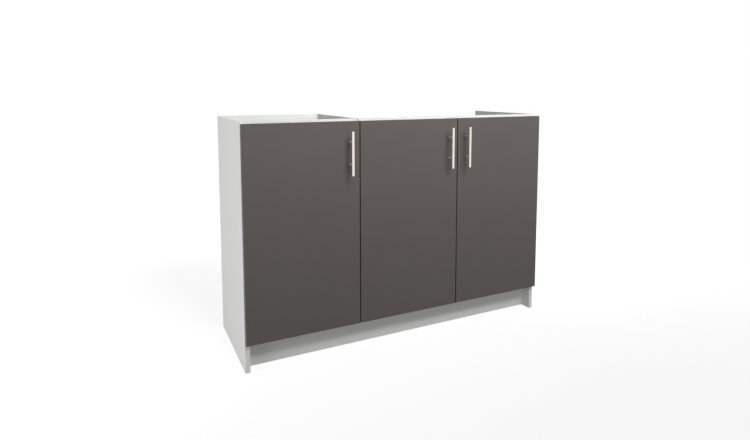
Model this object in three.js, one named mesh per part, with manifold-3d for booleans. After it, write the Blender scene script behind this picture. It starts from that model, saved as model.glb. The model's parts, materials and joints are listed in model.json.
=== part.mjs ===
// A kitchen sink base unit, 1200 mm wide: white board carcass, three flat doors
// on cup hinges, bar handles, a shelf in the left compartment, an open top and
// an open back in the sink compartment. Millimetres.
// X runs from the left side to the right, Y from the carcass front to its rear
// and Z up from the floor. The finished group has its origin on the floor, under
// the middle of the unit.

import * as THREE from "three";
import { mergeVertices } from "three/addons/utils/BufferGeometryUtils.js";
import Module from "manifold-3d";

const wasm = await Module();
wasm.setup();

// ---------------------------------------------------------------- carcass
const UNIT_WIDTH = 1200;
const UNIT_HEIGHT = 820;
const CARCASS_DEPTH = 400;
const BOARD = 16;
const PLINTH_HEIGHT = 100;
const PLINTH_RECESS = 44;
const FRONT_RAIL_HEIGHT = 90;
const RAIL_SEAM = 2;
const RAIL_END_GAP = 1;
const REAR_RAIL_HEIGHT = 100;
const REAR_RAIL_DROP = 60;

// The thin back of the left compartment stands in a saw groove.
const BACK_BOARD = 3;
const BACK_INSET = 14;
const GROOVE_DEPTH = 8;
const GROOVE_CLEARANCE = 0.3;

// ---------------------------------------------------------------- doors
const DOOR_COUNT = 3;
const DOOR_THICKNESS = 16;
const DOOR_TOP_REVEAL = 8;
const DOOR_BOTTOM_OVERHANG = 1;
const DOOR_SIDE_REVEAL = 1.5;
const DOOR_GAP = 3;
const DOOR_TO_CARCASS = 2.5;

// ---------------------------------------------------------------- handles
const BAR_LENGTH = 150;
const BAR_RADIUS = 5;
const BAR_CHAMFER = 0.6;
const BAR_STANDOFF = 28;
const BAR_FROM_DOOR_EDGE = 36;
const BAR_FROM_DOOR_TOP = 33;
const POST_SPACING = 77;
const POST_RADIUS = 4;
const POST_CLEARANCE = 0.3;
const SCREW_RADIUS = 2;
const SCREW_CLEARANCE = 0.4;
const SCREW_HEAD_RADIUS = 4.5;
const SCREW_HEAD_HEIGHT = 1.6;
const SCREW_CROWN_RADIUS = 3.2;
const SCREW_REACH = 10;
const SCREW_TIP_GAP = 1;

// ---------------------------------------------------------------- shelf
const SHELF_RISE = 360;
const SHELF_FRONT_SETBACK = 20;
const SHELF_BACK_GAP = 3;
const SHELF_SIDE_CLEARANCE = 1;
const PEG_RADIUS = 2.5;
const PEG_DEPTH = 9;
const PEG_REACH = 9;
const PEG_CLEARANCE = 0.3;
const PEG_SEAT_GAP = 0.2;
const PEG_HOLE_PITCH = 32;
const PEG_FROM_SHELF_EDGE = 40;

// ---------------------------------------------------------------- hinges
// U runs from the door's hinged edge into the door, V from its rear face inwards.
const HINGE_FROM_DOOR_END = 110;
const PIVOT_FROM_CUP_WALL = 2.9;
const PIN_RADIUS = 0.9;
const PIN_CLEARANCE = 0.25;
const PIN_END_GAP = 0.35;
const EYE_RADIUS = 2;
const EYE_CLEARANCE = 0.3;
const CUP_FROM_DOOR_EDGE = 3.2;
const CUP_RADIUS = 17.3;
const CUP_WALL = 0.9;
const CUP_FLOOR = 0.5;
const CUP_DEPTH = 12.8;
const CUP_CLEARANCE = 0.2;
const FLANGE_WIDTH = 16;
const FLANGE_LENGTH = 56;
const FLANGE_THICKNESS = 1.2;
const ARM_THICKNESS = 2;
const NECK_WIDTH = 8;
const ARM_WIDTH = 14;
const ARM_START = 1.5;
const ARM_END = 62;
const PLATE_HEIGHT = 3.9;
const PLATE_CENTRE = 37;
const PLATE_BODY_LENGTH = 34;
const PLATE_WING_LENGTH = 12;
const PLATE_WING_SPAN = 46;
const PLATE_WING_THICKNESS = 2;

// Facets on round pieces.
const SMALL_SIDES = 16;
const BAR_SIDES = 32;
const CUP_SIDES = 40;
const CUT_MARGIN = 1;

// ---------------------------------------------------------------- places
const innerLeft = BOARD;
const innerRight = UNIT_WIDTH - BOARD;
const doorGaps = 2 * DOOR_SIDE_REVEAL + (DOOR_COUNT - 1) * DOOR_GAP;
const doorWidth = (UNIT_WIDTH - doorGaps) / DOOR_COUNT;
const doorPitch = doorWidth + DOOR_GAP;
const doorTop = UNIT_HEIGHT - DOOR_TOP_REVEAL;
const doorBottom = PLINTH_HEIGHT - DOOR_BOTTOM_OVERHANG;
const doorRear = -DOOR_TO_CARCASS;
const doorFront = doorRear - DOOR_THICKNESS;
const dividerCentre = DOOR_SIDE_REVEAL + doorWidth + DOOR_GAP / 2;
const dividerLeft = dividerCentre - BOARD / 2;
const dividerRight = dividerCentre + BOARD / 2;
const floorTop = PLINTH_HEIGHT + BOARD;
const shelfTop = floorTop + SHELF_RISE;
const railBottom = UNIT_HEIGHT - FRONT_RAIL_HEIGHT;
const backFront = CARCASS_DEPTH - BACK_INSET - BACK_BOARD;
const backRear = CARCASS_DEPTH - BACK_INSET;
const barAxisY = doorFront - BAR_STANDOFF;
const barCentreZ = doorTop - BAR_FROM_DOOR_TOP - BAR_LENGTH / 2;
const frontmost = barAxisY - BAR_RADIUS;

// The pin crosses the cup from wall to wall and lies just above its floor. The
// arm's leg stands clear of the side panel by the height of the mounting plate.
const cupU = CUP_FROM_DOOR_EDGE + CUP_RADIUS;
const cupInner = CUP_RADIUS - CUP_WALL;
const pivotU = cupU - cupInner + PIVOT_FROM_CUP_WALL;
const pivotDepth = CUP_DEPTH - CUP_FLOOR - EYE_CLEARANCE - EYE_RADIUS;
const pinHalfLength = Math.sqrt(cupInner ** 2 - (cupU - pivotU + PIN_RADIUS) ** 2) - PIN_END_GAP;
const legU = BOARD - DOOR_SIDE_REVEAL + PLATE_HEIGHT;

// Where each door begins, the side it hangs on and the face its hinges stand on.
const DOORS = [
  { name: "left", start: DOOR_SIDE_REVEAL, side: 1, face: innerLeft },
  { name: "middle", start: DOOR_SIDE_REVEAL + doorPitch, side: 1, face: dividerRight },
  { name: "right", start: DOOR_SIDE_REVEAL + 2 * doorPitch, side: -1, face: innerRight },
];

// ---------------------------------------------------------------- materials
function finish(color, roughness, metalness) {
  return () => new THREE.MeshStandardMaterial({ color, roughness, metalness });
}

const whiteBoard = finish(0xe4e4e0, 0.45, 0);
const whiteBack = finish(0xdcdcd7, 0.6, 0);
const doorGrey = finish(0x5c5753, 0.5, 0);
const brushedNickel = finish(0xc4bbae, 0.3, 1);
const zincSteel = finish(0xb4b7ba, 0.35, 1);
const nickelSteel = finish(0xc8c8c6, 0.25, 1);

// ---------------------------------------------------------------- solids
function solidOf(geometry) {
  const bare = geometry.index ? geometry.toNonIndexed() : geometry.clone();
  bare.deleteAttribute("normal");
  bare.deleteAttribute("uv");
  const merged = mergeVertices(bare, 1e-4);
  const mesh = new wasm.Mesh({
    numProp: 3,
    vertProperties: new Float32Array(merged.attributes.position.array),
    triVerts: new Uint32Array(merged.index.array),
  });
  return new wasm.Manifold(mesh);
}

function geometryOf(solid) {
  const mesh = solid.getMesh();
  const geometry = new THREE.BufferGeometry();
  geometry.setAttribute("position", new THREE.BufferAttribute(mesh.vertProperties, 3));
  geometry.setIndex(new THREE.BufferAttribute(mesh.triVerts, 1));
  return geometry;
}

function cut(geometry, tools) {
  return geometryOf(tools.reduce((rest, tool) => rest.subtract(solidOf(tool)), solidOf(geometry)));
}

function join(first, second) {
  return geometryOf(solidOf(first).add(solidOf(second)));
}

// A box between two corners, given as [x, y, z].
function block(low, high) {
  const size = high.map((value, axis) => value - low[axis]);
  const centre = high.map((value, axis) => (value + low[axis]) / 2);
  return new THREE.BoxGeometry(...size).translate(...centre);
}

// A round bar along X, Y or Z between two places on that axis.
function rod(axis, radius, from, to, sides = SMALL_SIDES) {
  const geometry = new THREE.CylinderGeometry(radius, radius, to - from, sides);
  geometry.translate(0, (from + to) / 2, 0);
  if (axis === "x") {
    geometry.rotateZ(-Math.PI / 2);
  }
  if (axis === "z") {
    geometry.rotateX(Math.PI / 2);
  }
  return geometry;
}

const unit = new THREE.Group();

function place(parent, name, geometry, material, position = [0, 0, 0]) {
  const mesh = new THREE.Mesh(geometry, material());
  mesh.name = name;
  mesh.position.set(...position);
  parent.add(mesh);
}

// ---------------------------------------------------------------- carcass pieces
function grooveTool(fromX, toX, fromZ, toZ) {
  return block(
    [fromX, backFront - GROOVE_CLEARANCE, fromZ],
    [toX, backRear + GROOVE_CLEARANCE, toZ],
  );
}

// Peg holes for the shelf, three high at the front and at the rear of it.
function pegPlaces() {
  const front = SHELF_FRONT_SETBACK + PEG_FROM_SHELF_EDGE;
  const rear = backFront - SHELF_BACK_GAP - PEG_FROM_SHELF_EDGE;
  const height = shelfTop - BOARD - PEG_SEAT_GAP - PEG_RADIUS;
  return [front, rear].map((y) => ({ y, z: height }));
}

function pegHoles(fromX, toX) {
  const steps = [-1, 0, 1];
  return pegPlaces().flatMap(({ y, z }) =>
    steps.map((step) =>
      rod("x", PEG_RADIUS + PEG_CLEARANCE, fromX, toX).translate(0, y, z + step * PEG_HOLE_PITCH),
    ),
  );
}

function sidePanel(from, to, grooveFrom, grooveTo, holes) {
  const panel = block([from, 0, 0], [to, CARCASS_DEPTH, UNIT_HEIGHT]);
  const groove = grooveTool(grooveFrom, grooveTo, -CUT_MARGIN, UNIT_HEIGHT + CUT_MARGIN);
  return cut(panel, [groove, ...holes]);
}

function carcass() {
  const group = new THREE.Group();
  const pegHoleDepth = PEG_DEPTH + PEG_CLEARANCE;
  const leftHoles = pegHoles(innerLeft - pegHoleDepth, innerLeft + CUT_MARGIN);
  const leftGroove = [innerLeft - GROOVE_DEPTH, innerLeft + CUT_MARGIN];
  const rightGroove = [innerRight - CUT_MARGIN, innerRight + GROOVE_DEPTH];
  const left = sidePanel(0, innerLeft, ...leftGroove, leftHoles);
  const right = sidePanel(innerRight, UNIT_WIDTH, ...rightGroove, []);
  place(group, "left_side_panel", left, whiteBoard);
  place(group, "right_side_panel", right, whiteBoard);
  place(group, "divider_panel", divider(pegHoleDepth), whiteBoard);
  place(group, "bottom_panel", bottomPanel(), whiteBoard);
  place(group, "back_panel", backPanel(), whiteBack);
  place(group, "shelf", shelf(), whiteBoard);

  const rail = (fromX, toX) => block([fromX, 0, railBottom], [toX, BOARD, UNIT_HEIGHT]);
  const seamLeft = dividerCentre - RAIL_SEAM / 2;
  const seamRight = dividerCentre + RAIL_SEAM / 2;
  place(group, "front_rail_left", rail(innerLeft, seamLeft), whiteBoard);
  place(group, "front_rail_right", rail(seamRight, innerRight - RAIL_END_GAP), whiteBoard);

  const rearTop = UNIT_HEIGHT - REAR_RAIL_DROP;
  const rearRail = block(
    [dividerRight, backFront - BOARD, rearTop - REAR_RAIL_HEIGHT],
    [innerRight, backFront, rearTop],
  );
  place(group, "rear_rail", rearRail, whiteBoard);

  const plinth = block(
    [innerLeft, PLINTH_RECESS, 0],
    [innerRight, PLINTH_RECESS + BOARD, PLINTH_HEIGHT],
  );
  place(group, "plinth_board", plinth, whiteBoard);

  for (const [side, face, inwards] of [["left", innerLeft, 1], ["right", dividerLeft, -1]]) {
    pegPlaces().forEach(({ y, z }, index) => {
      const ends = [face - inwards * PEG_DEPTH, face + inwards * PEG_REACH];
      const peg = rod("x", PEG_RADIUS, Math.min(...ends), Math.max(...ends));
      const end = index === 0 ? "front" : "rear";
      place(group, `shelf_pin_${side}_${end}`, peg, zincSteel, [0, y, z]);
    });
  }
  return group;
}

// The divider stands on the bottom panel and is notched round the front rails.
function divider(pegHoleDepth) {
  const panel = block([dividerLeft, 0, floorTop], [dividerRight, backFront, UNIT_HEIGHT]);
  const notch = block(
    [dividerLeft - CUT_MARGIN, -CUT_MARGIN, railBottom],
    [dividerRight + CUT_MARGIN, BOARD, UNIT_HEIGHT + CUT_MARGIN],
  );
  return cut(panel, [notch, ...pegHoles(dividerLeft - CUT_MARGIN, dividerLeft + pegHoleDepth)]);
}

function bottomPanel() {
  const panel = block([innerLeft, 0, PLINTH_HEIGHT], [innerRight, CARCASS_DEPTH, floorTop]);
  const groove = grooveTool(
    innerLeft - CUT_MARGIN,
    innerRight + CUT_MARGIN,
    floorTop - GROOVE_DEPTH,
    floorTop + CUT_MARGIN,
  );
  return cut(panel, [groove]);
}

// The back stands in the grooves of the side and the bottom panel, and is nailed
// to the rear edge of the divider.
function backPanel() {
  const inGroove = GROOVE_DEPTH - GROOVE_CLEARANCE;
  return block(
    [innerLeft - inGroove, backFront, floorTop - inGroove],
    [dividerRight, backRear, UNIT_HEIGHT],
  );
}

function shelf() {
  return block(
    [innerLeft + SHELF_SIDE_CLEARANCE, SHELF_FRONT_SETBACK, shelfTop - BOARD],
    [dividerLeft - SHELF_SIDE_CLEARANCE, backFront - SHELF_BACK_GAP, shelfTop],
  );
}

// ---------------------------------------------------------------- doors and handles
function hingeEdge(door) {
  return door.side > 0 ? door.start : door.start + doorWidth;
}

function handleX(door) {
  const freeEdge = hingeEdge(door) + door.side * doorWidth;
  return freeEdge - door.side * BAR_FROM_DOOR_EDGE;
}

function postHeights() {
  return [
    { end: "upper", z: barCentreZ + POST_SPACING / 2 },
    { end: "lower", z: barCentreZ - POST_SPACING / 2 },
  ];
}

function hingeHeights() {
  return [
    { end: "upper", z: doorTop - HINGE_FROM_DOOR_END },
    { end: "lower", z: doorBottom + HINGE_FROM_DOOR_END },
  ];
}

// The door board, bored for its hinge cups and its handle screws.
function doorBoard(door) {
  const board = block(
    [door.start, doorFront, doorBottom],
    [door.start + doorWidth, doorRear, doorTop],
  );
  const cupX = hingeEdge(door) + door.side * cupU;
  const cupFloor = doorRear - CUP_DEPTH - CUP_CLEARANCE;
  const cups = hingeHeights().map(({ z }) =>
    rod("y", CUP_RADIUS + CUP_CLEARANCE, cupFloor, doorRear + CUT_MARGIN, CUP_SIDES)
      .translate(cupX, 0, z),
  );
  const screws = postHeights().map(({ z }) =>
    rod("y", SCREW_RADIUS + SCREW_CLEARANCE, doorFront - CUT_MARGIN, doorRear + CUT_MARGIN)
      .translate(handleX(door), 0, z),
  );
  return cut(board, [...cups, ...screws]);
}

function handleBar() {
  const half = BAR_LENGTH / 2;
  const outline = [
    [0, -half],
    [BAR_RADIUS - BAR_CHAMFER, -half],
    [BAR_RADIUS, -half + BAR_CHAMFER],
    [BAR_RADIUS, half - BAR_CHAMFER],
    [BAR_RADIUS - BAR_CHAMFER, half],
    [0, half],
  ];
  const points = outline.map(([radius, along]) => new THREE.Vector2(radius, along));
  return new THREE.LatheGeometry(points, BAR_SIDES).rotateX(Math.PI / 2);
}

// A post from the door face to the bar, saddled to the bar and bored for its screw.
function handlePost() {
  const post = rod("y", POST_RADIUS, -BAR_STANDOFF, 0, BAR_SIDES);
  const saddle = rod("z", BAR_RADIUS + POST_CLEARANCE, -BAR_LENGTH, BAR_LENGTH, BAR_SIDES)
    .translate(0, -BAR_STANDOFF, 0);
  const boreDepth = SCREW_REACH + SCREW_TIP_GAP;
  const bore = rod("y", SCREW_RADIUS + SCREW_CLEARANCE, -boreDepth, CUT_MARGIN);
  return cut(post, [saddle, bore]);
}

// The shank runs forwards, through the door and into the post, from the head's
// seat on the door's rear face.
function handleScrew() {
  const reach = DOOR_THICKNESS + SCREW_REACH;
  const outline = [
    [0, -reach],
    [SCREW_RADIUS, -reach],
    [SCREW_RADIUS, 0],
    [SCREW_HEAD_RADIUS, 0],
    [SCREW_HEAD_RADIUS, SCREW_HEAD_HEIGHT / 2],
    [SCREW_CROWN_RADIUS, SCREW_HEAD_HEIGHT],
    [0, SCREW_HEAD_HEIGHT],
  ];
  const points = outline.map(([radius, along]) => new THREE.Vector2(radius, along));
  return new THREE.LatheGeometry(points, SMALL_SIDES);
}

function doorSet(door) {
  const group = new THREE.Group();
  const x = handleX(door);
  place(group, `${door.name}_door`, doorBoard(door), doorGrey);
  place(group, `${door.name}_handle_bar`, handleBar(), brushedNickel, [x, barAxisY, barCentreZ]);
  for (const { end, z } of postHeights()) {
    place(group, `${door.name}_handle_post_${end}`, handlePost(), brushedNickel, [x, doorFront, z]);
    place(group, `${door.name}_handle_screw_${end}`, handleScrew(), zincSteel, [x, doorRear, z]);
  }
  return group;
}

// ---------------------------------------------------------------- hinges
// Each hinge is drawn at its own origin: the door's hinged edge, at the door's
// rear face, at the height of the hinge. Side is 1 where U runs along +X.
function hingeCup(side) {
  const rim = FLANGE_THICKNESS / 2;
  const outline = [
    [0, -CUP_DEPTH],
    [CUP_RADIUS, -CUP_DEPTH],
    [CUP_RADIUS, rim],
    [cupInner, rim],
    [cupInner, CUP_FLOOR - CUP_DEPTH],
    [0, CUP_FLOOR - CUP_DEPTH],
  ];
  const points = outline.map(([radius, along]) => new THREE.Vector2(radius, along));
  const cup = new THREE.LatheGeometry(points, CUP_SIDES);
  const flange = block(
    [-FLANGE_WIDTH / 2, 0, -FLANGE_LENGTH / 2],
    [FLANGE_WIDTH / 2, FLANGE_THICKNESS, FLANGE_LENGTH / 2],
  );
  const mouth = rod("y", cupInner, -CUT_MARGIN, FLANGE_THICKNESS + CUT_MARGIN, CUP_SIDES);
  return join(cup, cut(flange, [mouth])).translate(side * cupU, 0, 0);
}

function outlineShape(points, side) {
  return new THREE.Shape(points.map(([u, v]) => new THREE.Vector2(side * u, v)));
}

function flatPiece(shape, width) {
  const depth = { depth: width, bevelEnabled: false, curveSegments: SMALL_SIDES };
  return new THREE.ExtrudeGeometry(shape, depth).translate(0, 0, -width / 2);
}

// The arm reaches from its eye in the cup, along the cup's floor and out through
// its mouth, and runs back into the cabinet on the mounting plate.
function hingeArm(side) {
  const neckTop = -pivotDepth + ARM_THICKNESS / 2;
  const neckBottom = -pivotDepth - ARM_THICKNESS / 2;
  const armStart = DOOR_TO_CARCASS + ARM_START;
  const armEnd = DOOR_TO_CARCASS + ARM_END;
  const legOuter = legU + ARM_THICKNESS;
  const neck = flatPiece(
    outlineShape(
      [
        [pivotU, neckBottom],
        [legOuter, neckBottom],
        [legOuter, armEnd],
        [legU, armEnd],
        [legU, neckTop],
        [pivotU, neckTop],
      ],
      side,
    ),
    NECK_WIDTH,
  );
  const eye = rod("z", EYE_RADIUS, -NECK_WIDTH / 2, NECK_WIDTH / 2);
  const bore = rod("z", PIN_RADIUS + PIN_CLEARANCE, -NECK_WIDTH, NECK_WIDTH);
  const ends = [side * legU, side * legOuter];
  const strip = block(
    [Math.min(...ends), armStart, -ARM_WIDTH / 2],
    [Math.max(...ends), armEnd, ARM_WIDTH / 2],
  );
  eye.translate(side * pivotU, -pivotDepth, 0);
  bore.translate(side * pivotU, -pivotDepth, 0);
  return cut(join(join(neck, eye), strip), [bore]);
}

function hingePin(side) {
  return rod("z", PIN_RADIUS, -pinHalfLength, pinHalfLength).translate(
    side * pivotU,
    -pivotDepth,
    0,
  );
}

// A cross-shaped plate between the panel's face and the arm.
function mountingPlate(side, faceU) {
  const centre = DOOR_TO_CARCASS + PLATE_CENTRE;
  const slab = (top, length, width) => {
    const ends = [side * faceU, side * top];
    return block(
      [Math.min(...ends), centre - length / 2, -width / 2],
      [Math.max(...ends), centre + length / 2, width / 2],
    );
  };
  const body = slab(legU, PLATE_BODY_LENGTH, ARM_WIDTH);
  const wings = slab(faceU + PLATE_WING_THICKNESS, PLATE_WING_LENGTH, PLATE_WING_SPAN);
  return join(body, wings);
}

function hingesOf(door) {
  const group = new THREE.Group();
  const edge = hingeEdge(door);
  const faceU = (door.face - edge) * door.side;
  for (const { end, z } of hingeHeights()) {
    const origin = [edge, doorRear, z];
    const name = (piece) => `${door.name}_${end}_hinge_${piece}`;
    place(group, name("cup"), hingeCup(door.side), nickelSteel, origin);
    place(group, name("pin"), hingePin(door.side), zincSteel, origin);
    place(group, name("arm"), hingeArm(door.side), nickelSteel, origin);
    place(group, name("plate"), mountingPlate(door.side, faceU), nickelSteel, origin);
  }
  return group;
}

// ---------------------------------------------------------------- the unit
unit.add(carcass());
for (const door of DOORS) {
  unit.add(doorSet(door));
  unit.add(hingesOf(door));
}
unit.position.set(-UNIT_WIDTH / 2, -(CARCASS_DEPTH + frontmost) / 2, 0);

export default unit;
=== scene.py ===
"""A kitchen sink base unit: white board carcass, three grey doors, nickel bar handles.

Metres. X runs along the unit, Y from the doors to the rear and Z up from the floor.
"""

import json
import math

import bmesh
import bpy
from mathutils import Matrix, Vector


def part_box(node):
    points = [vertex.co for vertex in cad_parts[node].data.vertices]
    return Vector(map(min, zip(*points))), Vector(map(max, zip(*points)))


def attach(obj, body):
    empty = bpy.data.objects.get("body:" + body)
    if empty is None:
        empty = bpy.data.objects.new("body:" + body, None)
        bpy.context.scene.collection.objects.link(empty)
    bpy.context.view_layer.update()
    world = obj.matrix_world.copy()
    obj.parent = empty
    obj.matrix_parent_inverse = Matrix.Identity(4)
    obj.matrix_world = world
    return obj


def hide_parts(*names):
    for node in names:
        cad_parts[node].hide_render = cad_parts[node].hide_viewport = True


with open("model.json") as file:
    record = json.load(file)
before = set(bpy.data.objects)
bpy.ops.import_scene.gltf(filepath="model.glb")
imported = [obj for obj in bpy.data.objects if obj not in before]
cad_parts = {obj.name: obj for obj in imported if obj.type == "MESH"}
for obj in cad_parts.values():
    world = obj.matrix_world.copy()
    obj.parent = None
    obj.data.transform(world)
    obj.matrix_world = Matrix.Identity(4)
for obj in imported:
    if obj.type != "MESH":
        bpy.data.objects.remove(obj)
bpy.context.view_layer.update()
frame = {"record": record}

MM = 0.001
X, Y, Z = 0, 1, 2

# ---------------------------------------------------------------- camera
# Fitted to the photograph's edges: turns in radians, and the shift in image widths.
IMAGE_WIDTH = 750
SENSOR_WIDTH = 36
FOCAL_PIXELS = 540.7
CAMERA_PLACE = (-0.9464, -1.8774, 0.9185)
CAMERA_YAW = 0.4703
CAMERA_PITCH = 0.0937
CAMERA_ROLL = 0.0011
CAMERA_SHIFT = (-0.0183, -0.106)

# ---------------------------------------------------------------- roundness
# The sides of turned pieces. Each number also serves others of about that roundness.
NAIL_SIDES = 16
PIN_SIDES = 24
HEAD_SIDES = 32
POST_SIDES = 48
CUP_SIDES = 64
CORNER_STEPS = 6
BEVEL_STEPS = 2
BEVELLED_TURN = math.radians(30)
SMOOTHED_TURN = math.radians(35)
TOOL_PROUD = 1 * MM

# ---------------------------------------------------------------- boards
EDGE_BAND = 0.8 * MM
DOOR_BAND = 1.0 * MM
EDGE_ROUND = 0.35 * MM
DOOR_EDGE_ROUND = 0.6 * MM
FILM = 0.3 * MM
BACK_GROOVE_CLEARANCE = 0.3 * MM
PEG_HOLE_CLEARANCE = 0.3 * MM
PEG_HOLE_PITCH = 32 * MM
CUP_BORE_CLEARANCE = 0.2 * MM

# ---------------------------------------------------------------- small fittings
CAM_RADIUS = 7.5 * MM
CAM_PROUD = 0.3 * MM
CAM_FROM_END = 34 * MM
PEG_COLLAR = 0.8 * MM
PEG_COLLAR_PROUD = 1 * MM
PEG_CHAMFER = 0.5 * MM
NAIL_RADIUS = 1.6 * MM
NAIL_HEIGHT = 0.6 * MM
NAIL_COUNT = 6
BUFFER_RADIUS = 4 * MM
BUFFER_HEIGHT = 2 * MM
BUFFER_FROM_EDGE = 7 * MM
BUFFER_FROM_TOP = 28 * MM
BAR_EASE = 0.8 * MM
BAR_EASE_STEPS = 4
POST_EASE = 0.4 * MM

# ---------------------------------------------------------------- hinges
CUP_WALL = 0.9 * MM
CUP_FLOOR = 0.5 * MM
CUP_SOFT = 1.6 * MM
EAR_HALF_WIDTH = 8 * MM
EAR_CORNER = 5 * MM
EAR_ROUND = 0.3 * MM
EAR_TOOL_DEPTH = 3 * MM
EAR_SCREW_SPAN = 48 * MM
PIN_EASE = 0.2 * MM
NECK_WIDTH = 8 * MM
NECK_ROUND = 0.25 * MM
NECK_LAP = 4 * MM
ARM_SHEET = 2 * MM
ARM_BEND = 1.2 * MM
ARM_FROM_FRONT = 1.5 * MM
ARM_CORNER = 4 * MM
ARM_ROUND = 0.5 * MM
EYE_STEPS = 10
SIDE_SCREW_FROM_START = 14 * MM
DEPTH_SCREW_FROM_END = 12 * MM
PLATE_BODY_HALF = 7 * MM
PLATE_BODY_CORNER = 2 * MM
PLATE_WING_HALF = 6 * MM
PLATE_WING_CORNER = PLATE_WING_HALF * 0.98
PLATE_WING_SHEET = 2 * MM
PLATE_ROUND = 0.4 * MM
PLATE_SCREW_SPAN = 32 * MM

# A screw's head as (radius, height).
EAR_SCREW = (3.4 * MM, 1.0 * MM)
ARM_SCREW = (3.3 * MM, 0.9 * MM)
PLATE_SCREW = (3.6 * MM, 1.3 * MM)

# ---------------------------------------------------------------- stage
FLOOR_SIZE = 60
FLOOR_DROP = 0.5 * MM
FLOOR_BOUNCE = 0.18
FLOOR_SHADED = 0.36
FLOOR_LIFT = 0.8
SHADOW_REACH = (1.1, 2.4)
AMBIENT = 0.18
KEY_POWER = 51.5
FRONT_POWER = 15.5
LEFT_POWER = 26
RIGHT_POWER = 12
REAR_POWER = 12
KEY_SPREAD = 62


# ---------------------------------------------------------------- materials
def srgb(red, green, blue):
    """A colour written as 0-255 display values, as Blender's linear values."""
    def linear(value):
        value = value / 255
        return value / 12.92 if value <= 0.04045 else ((value + 0.055) / 1.055) ** 2.4

    return (linear(red), linear(green), linear(blue), 1)


def grey(value):
    return (value, value, value, 1)


def shaded(colour, factor):
    """The same colour, lighter or darker."""
    return (*[min(1, channel * factor) for channel in colour[:3]], 1)


def add_node(tree, kind, inputs=None, **settings):
    """A new node with its settings; an input is a value or the output that feeds it."""
    made = tree.nodes.new(kind)
    for name, value in settings.items():
        setattr(made, name, value)
    for name, value in (inputs or {}).items():
        if isinstance(value, bpy.types.NodeSocket):
            tree.links.new(value, made.inputs[name])
        else:
            made.inputs[name].default_value = value
    return made


class Finish:
    """A material with short calls for the nodes that these surfaces use."""

    def __init__(self, name, **surface):
        self.material = bpy.data.materials.new(name)
        self.material.use_nodes = True
        self.tree = self.material.node_tree
        self.shader = self.tree.nodes["Principled BSDF"]
        for socket, value in surface.items():
            self.shader.inputs[socket.replace("_", " ")].default_value = value

    def place(self, stretch=(1, 1, 1)):
        coordinates = add_node(self.tree, "ShaderNodeTexCoord").outputs["Object"]
        inputs = {"Vector": coordinates, "Scale": stretch}
        return add_node(self.tree, "ShaderNodeMapping", inputs).outputs["Vector"]

    def noise(self, scale, detail=3, stretch=(1, 1, 1), roughness=0.5):
        inputs = {"Vector": self.place(stretch), "Scale": scale, "Detail": detail}
        inputs["Roughness"] = roughness
        return add_node(self.tree, "ShaderNodeTexNoise", inputs).outputs["Fac"]

    def flakes(self, scale, stretch=(1, 1, 1)):
        inputs = {"Vector": self.place(stretch), "Scale": scale}
        return add_node(self.tree, "ShaderNodeTexVoronoi", inputs).outputs

    def spread(self, value, low, high, start=0.3, end=0.7):
        inputs = {"Value": value, "From Min": start, "From Max": end, "To Min": low, "To Max": high}
        return add_node(self.tree, "ShaderNodeMapRange", inputs).outputs["Result"]

    def ramp(self, value, stops):
        made = add_node(self.tree, "ShaderNodeValToRGB", {"Fac": value})
        elements = made.color_ramp.elements
        while len(elements) < len(stops):
            elements.new(0.5)
        for element, (position, colour) in zip(elements, stops):
            element.position = position
            element.color = colour
        return made.outputs["Color"]

    def add(self, first, second, share):
        inputs = {0: second, 1: share, 2: first}
        return add_node(self.tree, "ShaderNodeMath", inputs, operation="MULTIPLY_ADD").outputs[0]

    def colour(self, output):
        self.tree.links.new(output, self.shader.inputs["Base Color"])

    def roughness(self, output):
        self.tree.links.new(output, self.shader.inputs["Roughness"])

    def bump(self, height, distance, strength):
        inputs = {"Height": height, "Distance": distance, "Strength": strength}
        normal = add_node(self.tree, "ShaderNodeBump", inputs).outputs["Normal"]
        self.tree.links.new(normal, self.shader.inputs["Normal"])


def melamine_finish(name, colour, rough, variation, specular):
    """Resin-faced board: a faint pearl texture over a nearly even colour."""
    finish = Finish(name, Specular_IOR_Level=specular)
    cloud = finish.noise(scale=3.5, detail=4)
    grain = finish.noise(scale=900, detail=2)
    tone = finish.add(cloud, grain, share=0.35)
    light, dark = shaded(colour, 1 + variation), shaded(colour, 1 - variation)
    finish.colour(finish.ramp(tone, [(0.45, dark), (0.9, light)]))
    finish.roughness(finish.spread(finish.noise(scale=40), rough - 0.015, rough + 0.02))
    coarse, fine = finish.noise(scale=1500, detail=2), finish.noise(scale=420, detail=1)
    finish.bump(finish.add(coarse, fine, share=0.6), distance=0.05 * MM, strength=0.5)
    return finish.material


def band_finish(name, colour, rough, specular):
    """Plastic edging: smoother than the faces, with faint marks of the scraper."""
    finish = Finish(name, Specular_IOR_Level=specular)
    marks = finish.noise(scale=260, detail=2, stretch=(1, 1, 0.15))
    stops = [(0.3, shaded(colour, 0.975)), (0.7, shaded(colour, 1.02))]
    finish.colour(finish.ramp(marks, stops))
    finish.roughness(finish.spread(finish.noise(scale=90), rough - 0.05, rough + 0.06))
    finish.bump(marks, distance=0.03 * MM, strength=0.3)
    return finish.material


def chipboard_finish():
    """The pressed core of the boards, where no edging covers it."""
    finish = Finish("chipboard_core", Specular_IOR_Level=0.2)
    flakes = finish.flakes(scale=420, stretch=(1, 1, 0.45))
    fine = finish.noise(scale=900, detail=4, roughness=0.65)
    coarse = finish.noise(scale=150, detail=5, roughness=0.7)
    stops = [
        (0.30, srgb(104, 76, 48)),
        (0.48, srgb(154, 122, 84)),
        (0.62, srgb(189, 158, 116)),
        (0.85, srgb(219, 195, 158)),
    ]
    finish.colour(finish.ramp(finish.add(coarse, flakes["Color"], share=0.35), stops))
    finish.roughness(finish.spread(fine, 0.78, 0.95))
    relief = finish.add(fine, flakes["Distance"], share=0.8)
    finish.bump(relief, distance=0.35 * MM, strength=0.7)
    return finish.material


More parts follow.
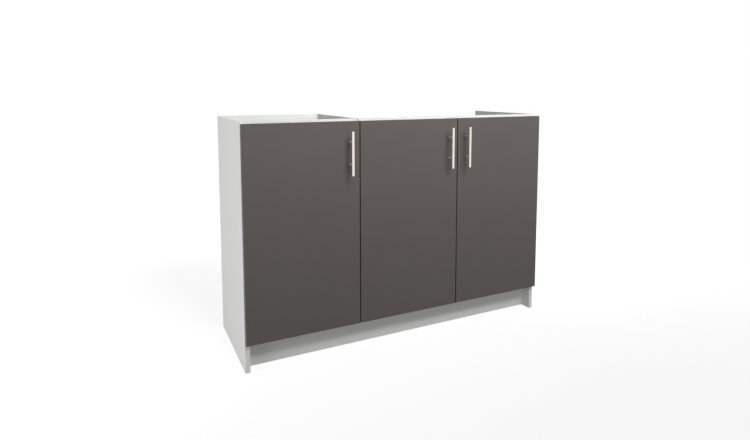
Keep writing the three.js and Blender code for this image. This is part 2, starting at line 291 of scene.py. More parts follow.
def hardboard_finish():
    """The bare rear face of the thin back: pressed brown fibre."""
    finish = Finish("hardboard_rear", Specular_IOR_Level=0.25)
    fibre = finish.noise(scale=330, detail=6, stretch=(1, 1, 0.3), roughness=0.7)
    cloud = finish.noise(scale=9)
    stops = [(0.4, srgb(116, 90, 66)), (0.65, srgb(141, 113, 86)), (0.9, srgb(163, 136, 107))]
    finish.colour(finish.ramp(finish.add(fibre, cloud, share=0.3), stops))
    finish.roughness(finish.spread(fibre, 0.62, 0.8))
    finish.bump(fibre, distance=0.12 * MM, strength=0.6)
    return finish.material


def brushed_finish(name, colour, along, rough, metallic):
    """A rod brushed round its axis: fine rings, and highlights drawn out lengthwise."""
    finish = Finish(name, Metallic=metallic, Anisotropic=0.6, Anisotropic_Rotation=0.25)
    stretch = [0.04, 0.04, 0.04]
    stretch[along] = 1
    rings = finish.noise(scale=2600, detail=2, stretch=tuple(stretch), roughness=0.6)
    smudge = finish.noise(scale=70)
    stops = [(0.3, shaded(colour, 0.95)), (0.7, shaded(colour, 1.03))]
    finish.colour(finish.ramp(finish.add(smudge, rings, share=0.15), stops))
    finish.roughness(finish.spread(smudge, rough - 0.01, rough + 0.02))
    finish.bump(rings, distance=0.01 * MM, strength=0.06)
    settings = {"direction_type": "RADIAL", "axis": "XYZ"[along]}
    tangent = add_node(finish.tree, "ShaderNodeTangent", **settings).outputs["Tangent"]
    finish.tree.links.new(tangent, finish.shader.inputs["Tangent"])
    return finish.material


def plated_finish(name, colour, rough, grain):
    """Stamped or turned steel under a thin bright plating."""
    finish = Finish(name, Metallic=1.0)
    spangle = finish.noise(scale=grain, detail=4, roughness=0.6)
    smudge = finish.noise(scale=110, detail=2)
    stops = [(0.3, shaded(colour, 0.88)), (0.7, shaded(colour, 1.05))]
    finish.colour(finish.ramp(spangle, stops))
    finish.roughness(finish.spread(smudge, rough - 0.06, rough + 0.12))
    finish.bump(spangle, distance=0.03 * MM, strength=0.25)
    return finish.material


def soft_plastic_finish():
    """The small buffers that the doors close on."""
    finish = Finish("soft_buffer", Specular_IOR_Level=0.4, Subsurface_Weight=0.2)
    cloud = finish.noise(scale=500, detail=2)
    finish.colour(finish.ramp(cloud, [(0.3, srgb(205, 206, 204)), (0.7, srgb(222, 223, 220))]))
    finish.roughness(finish.spread(cloud, 0.38, 0.5))
    finish.bump(cloud, distance=0.02 * MM, strength=0.3)
    return finish.material


WHITE = srgb(231, 231, 228)
WHITE_EDGING = srgb(238, 238, 235)
WHITE_LACQUER = srgb(228, 228, 224)
DOOR_GREY = srgb(94, 89, 86)
DOOR_EDGING = srgb(76, 71, 68)
NICKEL = srgb(238, 232, 223)
# The posts' nickel is the bars' nickel made darker: painted shade for the dark door that the posts
# reflect.
POST_NICKEL_PAINTED_SHADE = srgb(190, 181, 172)
HINGE_NICKEL = srgb(214, 213, 210)
ZINC = srgb(197, 202, 207)

white_face = melamine_finish("white_melamine", WHITE, rough=0.42, variation=0.012, specular=0.3)
white_band = band_finish("white_edging", WHITE_EDGING, rough=0.38, specular=0.3)
white_lacquer = melamine_finish(
    "white_lacquer", WHITE_LACQUER, rough=0.5, variation=0.015, specular=0.35
)
door_face = melamine_finish("grey_laminate", DOOR_GREY, rough=0.46, variation=0.02, specular=0.25)
door_band = band_finish("grey_edging", DOOR_EDGING, rough=0.42, specular=0.15)
chipboard = chipboard_finish()
hardboard = hardboard_finish()
bar_nickel = brushed_finish("brushed_nickel_bar", NICKEL, along=Z, rough=0.17, metallic=1.0)
# Painted shade: the posts are of the bars' nickel, given a darker colour and a lower metallic so
# that they look dark, as in shade.
post_nickel_painted_shade = brushed_finish("brushed_nickel_post_painted_shade", POST_NICKEL_PAINTED_SHADE, along=Y, rough=0.45, metallic=0.4)
hinge_nickel = plated_finish("nickel_plate", HINGE_NICKEL, rough=0.26, grain=700)
zinc = plated_finish("zinc_plate", ZINC, rough=0.34, grain=450)
buffer_plastic = soft_plastic_finish()


# ---------------------------------------------------------------- meshes
def finished(name, bm, materials, body, replaces=(), smooth=False):
    """An object of this mesh that rides on a body of the frame."""
    bmesh.ops.recalc_face_normals(bm, faces=bm.faces)
    mesh = bpy.data.meshes.new(name)
    bm.to_mesh(mesh)
    bm.free()
    for material in materials:
        mesh.materials.append(material)
    if smooth:
        smooth_over(mesh)
    piece = bpy.data.objects.new(name, mesh)
    bpy.context.scene.collection.objects.link(piece)
    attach(piece, body)
    if replaces:
        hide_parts(*replaces)
    return piece


def smooth_over(mesh):
    """Smooth shading that keeps the sharp edges."""
    mesh.shade_smooth()
    mesh.set_sharp_from_angle(angle=SMOOTHED_TURN)


def other_axes(axis):
    return [other for other in (X, Y, Z) if other != axis]


def prism(bm, outline, axis, low, high):
    """An outline in the two other axes, drawn out along one axis."""
    first, second = other_axes(axis)

    def corner(point, along):
        place = Vector((0, 0, 0))
        place[axis], place[first], place[second] = along, point[0], point[1]
        return bm.verts.new(place)

    ends = [[corner(point, along) for point in outline] for along in (low, high)]
    faces = [bm.faces.new(ends[0]), bm.faces.new(ends[1])]
    count = len(outline)
    for i in range(count):
        j = (i + 1) % count
        faces.append(bm.faces.new([ends[0][i], ends[0][j], ends[1][j], ends[1][i]]))
    bmesh.ops.recalc_face_normals(bm, faces=faces)
    return faces


def rectangle(low, high):
    return [(low[0], low[1]), (high[0], low[1]), (high[0], high[1]), (low[0], high[1])]


def rounded_rectangle(low, high, radius):
    """A rectangle's outline with its corners as arcs."""
    corners = [
        (high[0] - radius, high[1] - radius, 0),
        (low[0] + radius, high[1] - radius, 1),
        (low[0] + radius, low[1] + radius, 2),
        (high[0] - radius, low[1] + radius, 3),
    ]
    points = []
    for x, y, quarter in corners:
        for step in range(CORNER_STEPS + 1):
            angle = math.pi / 2 * (quarter + step / CORNER_STEPS)
            points.append((x + radius * math.cos(angle), y + radius * math.sin(angle)))
    return points


def turned(bm, profile, centre, axis, direction, sides, index=0):
    """A closed profile of (radius, distance) pairs turned about an axis."""
    first, second = other_axes(axis)
    rings = []
    for radius, along in profile:
        ring = []
        for step in range(sides if radius > 0 else 1):
            angle = 2 * math.pi * step / sides
            place = Vector(centre)
            place[axis] += direction * along
            place[first] += radius * math.cos(angle)
            place[second] += radius * math.sin(angle)
            ring.append(bm.verts.new(place))
        rings.append(ring)
    faces = []
    for ring, following in zip(rings, rings[1:]):
        for step in range(sides):
            after = (step + 1) % sides
            quad = [ring[step % len(ring)], ring[after % len(ring)]]
            quad += [following[after % len(following)], following[step % len(following)]]
            faces.append(bm.faces.new(list(dict.fromkeys(quad))))
    for face in faces:
        face.material_index = index
    bmesh.ops.recalc_face_normals(bm, faces=faces)


def turned_piece(name, profile, centre, axis, direction, sides, skin, body, slot, replaces=()):
    """A smooth piece of one material, turned about an axis."""
    bm = bmesh.new()
    turned(bm, profile, centre, axis, direction, sides)
    return finished(name, bm, [skin], body, replaces, smooth=True)


def convex_edges(faces):
    """The outer edges of these faces where the surface turns sharply."""
    edges = {edge for face in faces for edge in face.edges if len(edge.link_faces) == 2}
    sharp = [edge for edge in edges if edge.calc_face_angle_signed() > BEVELLED_TURN]
    return sorted(sharp, key=lambda edge: edge.index)


def round_off(bm, faces, width, segments=BEVEL_STEPS):
    """Rounds the outer edges of these faces."""
    bm.edges.index_update()
    bmesh.ops.bevel(
        bm,
        geom=convex_edges(faces),
        offset=width,
        offset_type="OFFSET",
        segments=segments,
        profile=0.5,
        affect="EDGES",
        clamp_overlap=True,
        material=-1,
    )


def cut(piece, tool_mesh):
    """Takes the solids of a tool mesh out of a piece; walls keep the tool's material index."""
    mesh = bpy.data.meshes.new("tool")
    bmesh.ops.recalc_face_normals(tool_mesh, faces=tool_mesh.faces)
    tool_mesh.to_mesh(mesh)
    tool_mesh.free()
    tool = bpy.data.objects.new("tool", mesh)
    bpy.context.scene.collection.objects.link(tool)
    modifier = piece.modifiers.new("cut", "BOOLEAN")
    modifier.operation = "DIFFERENCE"
    modifier.solver = "EXACT"
    modifier.object = tool
    shape = piece.evaluated_get(bpy.context.evaluated_depsgraph_get())
    result = bpy.data.meshes.new_from_object(shape)
    piece.modifiers.clear()
    old = piece.data
    piece.data = result
    result.name = piece.name
    bpy.data.meshes.remove(old)
    bpy.data.objects.remove(tool)
    bpy.data.meshes.remove(mesh)


def bore_profile(radius, depth):
    """The profile of a tool for a round bore, from just outside the surface."""
    return [(0, -TOOL_PROUD), (radius, -TOOL_PROUD), (radius, depth), (0, depth)]


def cut_cross(piece, top, axis, direction, depth, sizes):
    """Cuts a driver's crossed slots, each of a size along the two other axes."""
    first, second = other_axes(axis)
    ends = sorted((top[axis] + direction * TOOL_PROUD, top[axis] - direction * depth))
    for wide, narrow in sizes:
        low = (top[first] - wide / 2, top[second] - narrow / 2)
        high = (top[first] + wide / 2, top[second] + narrow / 2)
        tool = bmesh.new()
        prism(tool, rectangle(low, high), axis, *ends)
        cut(piece, tool)


# ---------------------------------------------------------------- boards
FACE, BAND, CORE, REAR = range(4)
CARCASS_SKINS = [white_face, white_band, chipboard, white_face]
DOOR_SKINS = [door_face, door_band, chipboard, door_face]
BACK_SKINS = [white_lacquer, white_lacquer, hardboard, hardboard]


def board(node, thin, bands, skins, outline=None, along=None, band=EDGE_BAND, edge=EDGE_ROUND):
    """A board of the frame with its faces, its edging and its bare core told apart.

    thin is the axis of its thickness, and bands lists its edged sides as (axis, sign).
    outline and along give a board whose section isn't a plain rectangle.
    """
    low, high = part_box(node)
    along = thin if along is None else along
    others = other_axes(along)
    flat_low, flat_high = [low[a] for a in others], [high[a] for a in others]
    bm = bmesh.new()
    prism(bm, outline or rectangle(flat_low, flat_high), along, low[along], high[along])

    def side(axis, sign, depth):
        return (high[axis] - depth) if sign > 0 else (low[axis] + depth)

    def slice_at(axis, place):
        point, normal = Vector((0, 0, 0)), Vector((0, 0, 0))
        point[axis], normal[axis] = place, 1
        everything = bm.verts[:] + bm.edges[:] + bm.faces[:]
        bmesh.ops.bisect_plane(bm, geom=everything, plane_co=point, plane_no=normal)

    for axis, sign in bands:
        slice_at(axis, side(axis, sign, band))
    for sign in (-1, 1):
        slice_at(thin, side(thin, sign, FILM))

    def within(centre, axis, sign, depth):
        return sign * (centre[axis] - side(axis, sign, depth)) > 0

    for face in bm.faces:
        centre = face.calc_center_median()
        face.material_index = CORE
        if within(centre, thin, -1, FILM):
            face.material_index = FACE
        if within(centre, thin, 1, FILM):
            face.material_index = REAR
        if any(within(centre, axis, sign, band) for axis, sign in bands):
            face.material_index = BAND
    banded = [face for face in bm.faces if face.material_index == BAND]
    if banded:
        round_off(bm, banded, edge)
    body = next(b for b, nodes in frame["record"]["behaviour"]["bodies"].items() if node in nodes)
    return finished(f"{node}_board", bm, skins, body, [node])


def groove_span():
    """The front and rear walls of the saw groove that the thin back stands in."""
    low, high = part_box("back_panel")
    return low.y - BACK_GROOVE_CLEARANCE, high.y + BACK_GROOVE_CLEARANCE


def side_panels():
    """The two outer sides, each with the groove for a back in its inner face."""
    front, rear = groove_span()
    left_low, left_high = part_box("left_side_panel")
    right_low, right_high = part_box("right_side_panel")
    depth = left_high.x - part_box("back_panel")[0].x + BACK_GROOVE_CLEARANCE
    for node, inner, outer, inwards in (
        ("left_side_panel", left_high.x, left_low.x, 1),
        ("right_side_panel", right_low.x, right_high.x, -1),
    ):
        low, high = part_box(node)
        bottom = inner - inwards * depth
        outline = [
            (outer, low.y),
            (inner, low.y),
            (inner, front),
            (bottom, front),
            (bottom, rear),
            (inner, rear),
            (inner, high.y),
            (outer, high.y),
        ]
        panel = board(node, X, [(Y, -1), (Z, 1)], CARCASS_SKINS, outline, Z)
        if node == "left_side_panel":
            cut(panel, peg_bores("left"))


def peg_bores(side):
    """Tools for the rows of shelf peg holes in one wall of the left compartment."""
    tools = bmesh.new()
    direction = -1 if side == "left" else 1
    for end in ("front", "rear"):
        low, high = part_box(f"shelf_pin_{side}_{end}")
        middle = (low + high) / 2
        radius = (high.z - low.z) / 2 + PEG_HOLE_CLEARANCE
        depth = (high.x - low.x) / 2 + PEG_HOLE_CLEARANCE
        profile = bore_profile(radius, depth)
        for step in (-1, 0, 1):
            centre = middle + Vector((0, 0, step * PEG_HOLE_PITCH))
            turned(tools, profile, centre, X, direction, PIN_SIDES, index=CORE)
    return tools


def divider_panel():
    """The wall between the compartments, notched round the front rails."""
    low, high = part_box("divider_panel")
    rail_low, rail_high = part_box("front_rail_left")
    outline = [
        (low.y, low.z),
        (high.y, low.z),
        (high.y, high.z),
        (rail_high.y, high.z),
        (rail_high.y, rail_low.z),
        (low.y, rail_low.z),
    ]
    panel = board("divider_panel", X, [(Y, -1), (Z, 1)], CARCASS_SKINS, outline, X)
    cut(panel, peg_bores("right"))


def bottom_panel():
    """The floor of both compartments, with the back's groove along its top."""
    low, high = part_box("bottom_panel")
    front, rear = groove_span()
    depth = high.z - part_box("back_panel")[0].z + BACK_GROOVE_CLEARANCE
    outline = [
        (low.y, low.z),
        (high.y, low.z),
        (high.y, high.z),
        (rear, high.z),
        (rear, high.z - depth),
        (front, high.z - depth),
        (front, high.z),
        (low.y, high.z),
    ]
    board("bottom_panel", Z, [(Y, -1)], CARCASS_SKINS, outline, X)


def plain_boards():
    board("shelf", Z, [(Y, -1)], CARCASS_SKINS)
    for node in ("front_rail_left", "front_rail_right", "rear_rail", "plinth_board"):
        board(node, Y, [(Z, 1)], CARCASS_SKINS)
    board("back_panel", Y, [], BACK_SKINS)


# ---------------------------------------------------------------- small fittings
def screw(name, seat, axis, direction, size, body, replaces=()):
    """A screw's low pan head on its seat, with a cross recess."""
    radius, height = size
    profile = [
        (0, 0),
        (radius, 0),
        (radius, height * 0.35),
        (radius * 0.93, height * 0.66),
        (radius * 0.75, height * 0.9),
        (radius * 0.5, height),
        (0, height),
    ]
    finish = (zinc, body, "zinc_steel", replaces)
    head = turned_piece(name, profile, seat, axis, direction, HEAD_SIDES, *finish)
    top = Vector(seat)
    top[axis] += direction * height
    long, short = radius * 1.15, radius * 0.3
    cut_cross(head, top, axis, direction, height * 0.6, [(short, long), (long, short)])
    smooth_over(head.data)


def cam(name, centre):
    """The head of a cam connector, let into a board's rear face and a little proud of it."""
    rim = CAM_RADIUS
    profile = [
        (0, -CAM_PROUD),
        (rim, -CAM_PROUD),
        (rim, CAM_PROUD * 0.6),
        (rim * 0.96, CAM_PROUD),
        (rim * 0.72, CAM_PROUD),
        (rim * 0.68, CAM_PROUD * 0.3),
        (0, CAM_PROUD * 0.3),
    ]
    disc = turned_piece(name, profile, centre, Y, 1, POST_SIDES, zinc, "carcass", "zinc_steel")
    long, short = rim * 0.9, rim * 0.2
    cut_cross(disc, centre, Y, 1, CAM_PROUD * 0.7, [(long, short), (short, long)])


def cams():
    """Cam connectors in the rear faces of the rails and of the plinth board."""
    for node, sides in (
        ("front_rail_left", (-1,)),
        ("front_rail_right", (1,)),
        ("rear_rail", (-1, 1)),
        ("plinth_board", (-1, 1)),
    ):
        low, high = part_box(node)
        for sign in sides:
            x = high.x - CAM_FROM_END if sign > 0 else low.x + CAM_FROM_END
            name = f"{node}_cam_{'right' if sign > 0 else 'left'}"
            cam(name, Vector((x, high.y, (low.z + high.z) / 2)))


def shelf_pegs():
    """Steel pegs with a small collar against the wall."""
    for side, inwards in (("left", 1), ("right", -1)):
        for end in ("front", "rear"):
            node = f"shelf_pin_{side}_{end}"
            low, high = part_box(node)
            radius = (high.z - low.z) / 2
            reach = (high.x - low.x) / 2
            profile = [
                (0, -reach),
                (radius - PEG_CHAMFER, -reach),
                (radius, -reach + PEG_CHAMFER),
                (radius, 0),
                (radius + PEG_COLLAR_PROUD, 0),
                (radius + PEG_COLLAR_PROUD, PEG_COLLAR),
                (radius, PEG_COLLAR),
                (radius, reach - PEG_CHAMFER),
                (radius - PEG_CHAMFER, reach),
                (0, reach),
            ]
            centre, name = (low + high) / 2, f"{node}_turned"
            finish = (zinc, "carcass", "zinc_steel", [node])
            turned_piece(name, profile, centre, X, inwards, HEAD_SIDES, *finish)


def back_nails():
    """Nails that hold the thin back to the divider's rear edge."""
    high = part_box("back_panel")[1]
    divider_low, divider_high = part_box("divider_panel")
    x = (divider_low.x + divider_high.x) / 2
    spacing = (high.z - divider_low.z) / NAIL_COUNT
    profile = [
        (0, 0),
        (NAIL_RADIUS, 0),
        (NAIL_RADIUS, NAIL_HEIGHT / 2),
        (NAIL_RADIUS * 0.6, NAIL_HEIGHT),
        (0, NAIL_HEIGHT),
    ]
    for index in range(NAIL_COUNT):
        seat = Vector((x, high.y, divider_low.z + spacing * (index + 0.5)))
        name = f"back_nail_{index + 1}"
        turned_piece(name, profile, seat, Y, 1, NAIL_SIDES, zinc, "carcass", "zinc_steel")


# ---------------------------------------------------------------- doors
# Each door's name, and the direction along X from its hinged edge to its free edge.
DOORS = {"left": 1, "middle": 1, "right": -1}


def door_boards():
    """The doors, edged all round, with the bores of their hinge cups."""
    bands = [(X, -1), (X, 1), (Z, -1), (Z, 1)]
    for name in DOORS:
        door = board(f"{name}_door", Y, bands, DOOR_SKINS, band=DOOR_BAND, edge=DOOR_EDGE_ROUND)
        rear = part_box(f"{name}_door")[1].y
        tools = bmesh.new()
        for end in ("upper", "lower"):
            low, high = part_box(f"{name}_{end}_hinge_cup")
            radius = (high.x - low.x) / 2 + CUP_BORE_CLEARANCE
            depth = rear - low.y + CUP_BORE_CLEARANCE
            centre = Vector(((low.x + high.x) / 2, rear, (low.z + high.z) / 2))
            turned(tools, bore_profile(radius, depth), centre, Y, -1, CUP_SIDES, index=CORE)
        cut(door, tools)


def buffers():
    """Two small buffers inside each door's free edge, on what the door closes on."""
    heights = {
        "upper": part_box("front_rail_left")[1].z - BUFFER_FROM_TOP,
        "lower": sum(corner.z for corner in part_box("bottom_panel")) / 2,
    }
    radius, height = BUFFER_RADIUS, BUFFER_HEIGHT
    profile = [
        (0, 0),
        (radius, 0),
        (radius, height * 0.4),
        (radius * 0.9, height * 0.75),
        (radius * 0.65, height),
        (0, height),
    ]
    for name, side in DOORS.items():
        low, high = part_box(f"{name}_door")
        x = high.x - BUFFER_FROM_EDGE if side > 0 else low.x + BUFFER_FROM_EDGE
        for end, z in heights.items():
            piece, seat = f"{name}_door_buffer_{end}", Vector((x, high.y, z))
            finish = (buffer_plastic, f"{name}_door_leaf", "white_board")
            turned_piece(piece, profile, seat, Y, 1, HEAD_SIDES, *finish)


def handles():
    """Round bars with rounded ends, on two posts whose feet are eased."""
    for name in DOORS:
        body = f"{name}_door_leaf"
        door_low, door_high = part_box(f"{name}_door")
        centre = handle_bar(f"{name}_handle_bar", body)
        for end in ("upper", "lower"):
            handle_post(f"{name}_handle_post_{end}", centre, door_low.y, body)
            node = f"{name}_handle_screw_{end}"
            low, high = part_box(node)
            seat = Vector((centre.x, door_high.y, (low.z + high.z) / 2))
            size = ((high.x - low.x) / 2, high.y - door_high.y)
            screw(f"{node}_head", seat, Y, 1, size, body, [node])


def handle_bar(node, body):
    """A bar, whose centre is given back."""
    low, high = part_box(node)
    centre = (low + high) / 2
    radius, half = (high.x - low.x) / 2, (high.z - low.z) / 2
    angles = [math.pi / 2 * step / BAR_EASE_STEPS for step in range(BAR_EASE_STEPS + 1)]
    arc = [
        (radius - BAR_EASE * (1 - math.sin(angle)), half - BAR_EASE * (1 - math.cos(angle)))
        for angle in angles
    ]
    profile = [(0, half), *arc, *[(r, -z) for r, z in reversed(arc)], (0, -half)]
    finish = (bar_nickel, body, "brushed_nickel", [node])
    turned_piece(f"{node}_turned", profile, centre, Z, 1, CUP_SIDES, *finish)
    return centre


def handle_post(node, bar_centre, front, body):
    """A post from the door's front face to the bar's axis."""
    low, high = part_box(node)
    radius = (high.x - low.x) / 2
    foot = Vector((bar_centre.x, front, (low.z + high.z) / 2))
    reach = front - bar_centre.y
    profile = [
        (0, 0),
        (radius - POST_EASE, 0),
        (radius, POST_EASE),
        (radius, reach),
        (0, reach),
    ]
    finish = (post_nickel_painted_shade, body, "brushed_nickel", [node])
    turned_piece(f"{node}_turned", profile, foot, Y, -1, POST_SIDES, *finish)


# ---------------------------------------------------------------- hinges
class HingePlace:
    """A hinge's own axes: u into the door from its hinged edge, v to the rear, w up."""

    def __init__(self, name, end, side):
        self.side = side
        self.leaf = f"{name}_door_leaf"
        self.prefix = f"{name}_{end}_hinge"
        door_low, door_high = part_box(f"{name}_door")
        self.edge = door_low.x if side > 0 else door_high.x
        self.rear = door_high.y
        low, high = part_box(f"{self.prefix}_cup")
        self.height = (low.z + high.z) / 2

    def at(self, u, v, w=0):
        return Vector((self.edge + self.side * u, self.rear + v, self.height + w))

    def span(self, node):
        """The node's reach along u, v and w, each as (lowest, highest)."""
        low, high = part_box(f"{self.prefix}_{node}")
        along = sorted(((low.x - self.edge) * self.side, (high.x - self.edge) * self.side))
        across = (low.y - self.rear, high.y - self.rear)
        return along, across, (low.z - self.height, high.z - self.height)

    def flat(self, vs, ws, corner):
        """A rounded outline in the plane of the cabinet's side."""
        low = (self.rear + vs[0], self.height + ws[0])
        high = (self.rear + vs[1], self.height + ws[1])
        return rounded_rectangle(low, high, corner)

    def layer(self, u_from, u_to):
        """Two distances from the hinged edge as sorted places along X."""
        return sorted((self.at(u_from, 0).x, self.at(u_to, 0).x))


def hinge_cup(place):
    """The deep-drawn cup with its two ears, let into the door's rear face."""
    (u_low, u_high), (v_low, v_high), (w_low, w_high) = place.span("cup")
    centre, radius = (u_low + u_high) / 2, (u_high - u_low) / 2
    middle = place.at(centre, 0)
    inner = radius - CUP_WALL
    rim = v_high / 2
    floor = v_low + CUP_FLOOR
    profile = [
        (0, v_low),
        (radius - CUP_SOFT, v_low),
        (radius - CUP_SOFT * 0.3, v_low + CUP_SOFT * 0.3),
        (radius, v_low + CUP_SOFT),
        (radius, rim * 0.5),
        (radius - CUP_WALL / 2, rim),
        (inner, rim * 0.5),
        (inner, floor + CUP_SOFT),
        (inner - CUP_SOFT * 0.3, floor + CUP_SOFT * 0.3),
        (inner - CUP_SOFT, floor),
        (0, floor),
    ]
    node, body, slot = f"{place.prefix}_cup", place.leaf, "hinge_nickel"
    finish = (hinge_nickel, body, slot, [node])
    turned_piece(f"{node}_drawn", profile, middle, Y, 1, CUP_SIDES, *finish)

    low = (middle.x - EAR_HALF_WIDTH, place.height + w_low)
    high = (middle.x + EAR_HALF_WIDTH, place.height + w_high)
    bm = bmesh.new()
    outline = rounded_rectangle(low, high, EAR_CORNER)
    round_off(bm, prism(bm, outline, Y, place.rear, place.rear + v_high), EAR_ROUND)
    ears = finished(f"{node}_ears", bm, [hinge_nickel], body, smooth=True)
    tool = bmesh.new()
    turned(tool, bore_profile(inner, EAR_TOOL_DEPTH), middle, Y, 1, CUP_SIDES)
    cut(ears, tool)
    for end, w in (("upper", EAR_SCREW_SPAN / 2), ("lower", -EAR_SCREW_SPAN / 2)):
        seat = place.at(centre, v_high, w)
        screw(f"{node}_screw_{end}", seat, Y, 1, EAR_SCREW, body)


def hinge_pin(place):
    """The pin, with its riveted ends."""
    (u_low, u_high), (v_low, v_high), (w_low, w_high) = place.span("pin")
    radius = (u_high - u_low) / 2
    profile = [
        (0, w_low),
        (radius - PIN_EASE, w_low),
        (radius, w_low + PIN_EASE),
        (radius, w_high - PIN_EASE),
        (radius - PIN_EASE, w_high),
        (0, w_high),
    ]
    centre = place.at((u_low + u_high) / 2, (v_low + v_high) / 2)
    node = f"{place.prefix}_pin"
    finish = (zinc, place.leaf, "zinc_steel", [node])
    turned_piece(f"{node}_turned", profile, centre, Z, 1, PIN_SIDES, *finish)


def hinge_arm(place):
    """The pressed arm: an eye and a neck in the cup, then a strip along the cabinet's side."""
    (_, u_high), (v_low, v_high), spread = place.span("arm")
    (p_low, p_high), (q_low, q_high), _ = place.span("pin")
    pivot_u, pivot_v = (p_low + p_high) / 2, (q_low + q_high) / 2
    eye = pivot_v - v_low
    leg = u_high - ARM_SHEET
    start = -place.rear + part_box("bottom_panel")[0].y + ARM_FROM_FRONT
    angles = [math.pi / 2 + math.pi * step / EYE_STEPS for step in range(1, EYE_STEPS)]
    arc = [(pivot_u + eye * math.cos(a), pivot_v + eye * math.sin(a)) for a in angles]
    half_sheet = ARM_SHEET / 2
    outline = [
        (pivot_u, pivot_v + eye),
        *arc,
        (pivot_u, pivot_v - eye),
        (pivot_u + eye, pivot_v - half_sheet),
        (u_high - ARM_BEND, pivot_v - half_sheet),
        (u_high, pivot_v - half_sheet + ARM_BEND),
        (u_high, start + NECK_LAP),
        (leg, start + NECK_LAP),
        (leg, pivot_v + half_sheet + ARM_BEND / 2),
        (leg - ARM_BEND / 2, pivot_v + half_sheet),
        (pivot_u + eye, pivot_v + half_sheet),
    ]
    outline = [tuple(place.at(u, v)[:2]) for u, v in outline]
    half = NECK_WIDTH / 2
    bm = bmesh.new()
    neck = prism(bm, outline, Z, place.height - half, place.height + half)
    round_off(bm, neck, NECK_ROUND, segments=1)
    outline = place.flat((start, v_high), spread, ARM_CORNER)
    round_off(bm, prism(bm, outline, X, *place.layer(leg, u_high)), ARM_ROUND)
    node = f"{place.prefix}_arm"
    finished(f"{node}_pressed", bm, [hinge_nickel], "carcass", [node], smooth=True)
    for label, v in (
        ("side_screw", start + SIDE_SCREW_FROM_START),
        ("depth_screw", v_high - DEPTH_SCREW_FROM_END),
    ):
        seat = place.at(u_high, v)
        screw(f"{node}_{label}", seat, X, place.side, ARM_SCREW, "carcass")


def hinge_plate(place):
    """The mounting plate: a body under the arm, and two wings screwed to the side."""
    (u_low, u_high), (v_low, v_high), spread = place.span("plate")
    middle = (v_low + v_high) / 2
    wing_top = u_low + PLATE_WING_SHEET
    bm = bmesh.new()
    outline = place.flat((v_low, v_high), (-PLATE_BODY_HALF, PLATE_BODY_HALF), PLATE_BODY_CORNER)
    round_off(bm, prism(bm, outline, X, *place.layer(u_low, u_high)), PLATE_ROUND)
    wing = (middle - PLATE_WING_HALF, middle + PLATE_WING_HALF)
    outline = place.flat(wing, spread, PLATE_WING_CORNER)
    round_off(bm, prism(bm, outline, X, *place.layer(u_low, wing_top)), PLATE_ROUND)
    node = f"{place.prefix}_plate"
    finished(f"{node}_cast", bm, [hinge_nickel], "carcass", [node], smooth=True)
    for end, w in (("upper", PLATE_SCREW_SPAN / 2), ("lower", -PLATE_SCREW_SPAN / 2)):
        seat = place.at(wing_top, middle, w)
        screw(f"{node}_screw_{end}", seat, X, place.side, PLATE_SCREW, "carcass")


def hinges():
    for name, side in DOORS.items():
        for end in ("upper", "lower"):
            place = HingePlace(name, end, side)
            hinge_cup(place)
            hinge_pin(place)
            hinge_arm(place)
            hinge_plate(place)


# ---------------------------------------------------------------- stage
class StudioNodes:
    """Short calls for the node trees of the floor and the world."""

    def __init__(self, tree):
        self.tree = tree
        tree.nodes.clear()

    def node(self, kind, inputs, **settings):
        made = add_node(self.tree, kind, inputs, **settings)
        return made.outputs[0] if made.outputs else None

    def mix(self, share, first, second):
        return self.node("ShaderNodeMixShader", {0: share, 1: first, 2: second})

    def seen_directly(self):
        """1 for camera, mirror and see-through rays, 0 for the rays that light surfaces."""
        path = add_node(self.tree, "ShaderNodeLightPath").outputs
        inputs = {0: path["Is Camera Ray"], 1: path["Is Glossy Ray"]}
        sharp = self.node("ShaderNodeMath", inputs, operation="MAXIMUM")
        inputs = {0: sharp, 1: path["Is Transmission Ray"]}
        return self.node("ShaderNodeMath", inputs, operation="MAXIMUM")


def floor_material():
    """White far out, and near the object white with its shadow kept pale."""
    material = bpy.data.materials.new("studio_floor")
    material.use_nodes = True
    tree = material.node_tree
    studio = StudioNodes(tree)
    bounce = studio.node("ShaderNodeBsdfDiffuse", {"Color": grey(FLOOR_BOUNCE)})
    lit = studio.node("ShaderNodeBsdfDiffuse", {"Color": grey(FLOOR_SHADED)})
    lift = studio.node("ShaderNodeEmission", {"Strength": FLOOR_LIFT})
    near = studio.node("ShaderNodeAddShader", {0: lit, 1: lift})
    far = studio.node("ShaderNodeEmission", {"Strength": 1.0})
    place = add_node(tree, "ShaderNodeTexCoord").outputs["Object"]
    length = add_node(tree, "ShaderNodeVectorMath", {0: place}, operation="LENGTH")
    start, end = SHADOW_REACH
    inputs = {"Value": length.outputs["Value"], "From Min": start, "From Max": end}
    outwards = studio.node("ShaderNodeMapRange", inputs, interpolation_type="SMOOTHSTEP")
    seen = studio.mix(outwards, near, far)
    output = studio.mix(studio.seen_directly(), bounce, seen)
    studio.node("ShaderNodeOutputMaterial", {"Surface": output})
    return material


def studio_floor():
    bm = bmesh.new()
    bmesh.ops.create_grid(bm, x_segments=1, y_segments=1, size=FLOOR_SIZE / 2)
    mesh = bpy.data.meshes.new("studio_floor")
    bm.to_mesh(mesh)
    bm.free()
    mesh.materials.append(floor_material())
    plane = bpy.data.objects.new("studio_floor", mesh)
    plane.location.z = -FLOOR_DROP
    bpy.context.scene.collection.objects.link(plane)


def studio_world():
    """An even grey surround for the light, seen as white."""
    world = bpy.data.worlds.new("studio_world")
    world.use_nodes = True
    studio = StudioNodes(world.node_tree)
    light = studio.node("ShaderNodeBackground", {"Color": grey(1), "Strength": AMBIENT})
    seen = studio.node("ShaderNodeBackground", {"Color": grey(1), "Strength": 1.0})
    output = studio.mix(studio.seen_directly(), light, seen)
    studio.node("ShaderNodeOutputWorld", {"Surface": output})
    bpy.context.scene.world = world


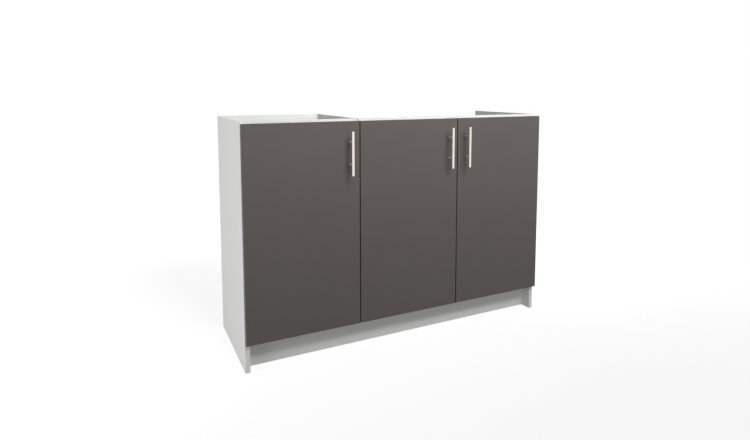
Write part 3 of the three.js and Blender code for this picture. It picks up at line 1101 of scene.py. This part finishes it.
def softbox(name, place, target, size, power, spread=180, mirrored=False):
    """A rectangular lamp that the camera doesn't see; a small spread acts as a honeycomb."""
    data = bpy.data.lights.new(name, "AREA")
    data.shape = "RECTANGLE"
    data.size, data.size_y = size
    data.energy = power
    data.spread = math.radians(spread)
    lamp = bpy.data.objects.new(name, data)
    lamp.location = place
    direction = Vector(target) - Vector(place)
    lamp.rotation_euler = direction.to_track_quat("-Z", "Y").to_euler()
    lamp.visible_camera = False
    lamp.visible_glossy = mirrored
    bpy.context.scene.collection.objects.link(lamp)


def studio_lights():
    """The key aims above the unit, so that its falling edge shades the doors downwards."""
    softbox(
        "key_softbox",
        place=(1.84, -2.2, 2.88),
        target=(1.56, -0.2, 1.79),
        size=(4.6, 0.9),
        power=KEY_POWER,
        spread=KEY_SPREAD,
        mirrored=True,
    )
    softbox(
        "front_softbox",
        place=(0.3, -3.6, 0.75),
        target=(0.1, 0.0, 0.5),
        size=(2.6, 1.0),
        power=FRONT_POWER,
    )
    softbox(
        "left_softbox",
        place=(-2.55, -0.45, 0.62),
        target=(-0.6, -0.05, 0.62),
        size=(2.0, 0.7),
        power=LEFT_POWER,
    )
    softbox(
        "right_softbox",
        place=(2.6, 0.2, 0.9),
        target=(0.6, 0.0, 0.4),
        size=(2.0, 1.2),
        power=RIGHT_POWER,
    )
    softbox(
        "rear_softbox",
        place=(0.6, 2.7, 1.3),
        target=(0.0, 0.2, 0.4),
        size=(2.0, 1.2),
        power=REAR_POWER,
    )


def photo_camera():
    """The photograph's view, from its fitted place and turn."""
    data = bpy.data.cameras.new("photo_camera")
    data.sensor_fit = "HORIZONTAL"
    data.sensor_width = SENSOR_WIDTH
    data.lens = SENSOR_WIDTH * FOCAL_PIXELS / IMAGE_WIDTH
    data.shift_x, data.shift_y = CAMERA_SHIFT
    yaw, pitch = CAMERA_YAW, CAMERA_PITCH
    right = Vector((math.cos(yaw), -math.sin(yaw), 0))
    level = Vector((math.sin(yaw), math.cos(yaw), 0))
    forward = level * math.cos(pitch) - Vector((0, 0, math.sin(pitch)))
    up = right.cross(forward)
    turn = Matrix((right, up, -forward)).transposed()
    roll = Matrix.Rotation(CAMERA_ROLL, 3, "Z")
    camera = bpy.data.objects.new("photo_camera", data)
    camera.matrix_world = Matrix.Translation(CAMERA_PLACE) @ (turn @ roll).to_4x4()
    bpy.context.scene.collection.objects.link(camera)
    bpy.context.scene.camera = camera


# ---------------------------------------------------------------- the scene
bpy.context.scene.view_settings.view_transform = "Standard"
photo_camera()
side_panels()
divider_panel()
bottom_panel()
plain_boards()
cams()
shelf_pegs()
back_nails()
door_boards()
buffers()
handles()
hinges()
studio_floor()
studio_world()
studio_lights()
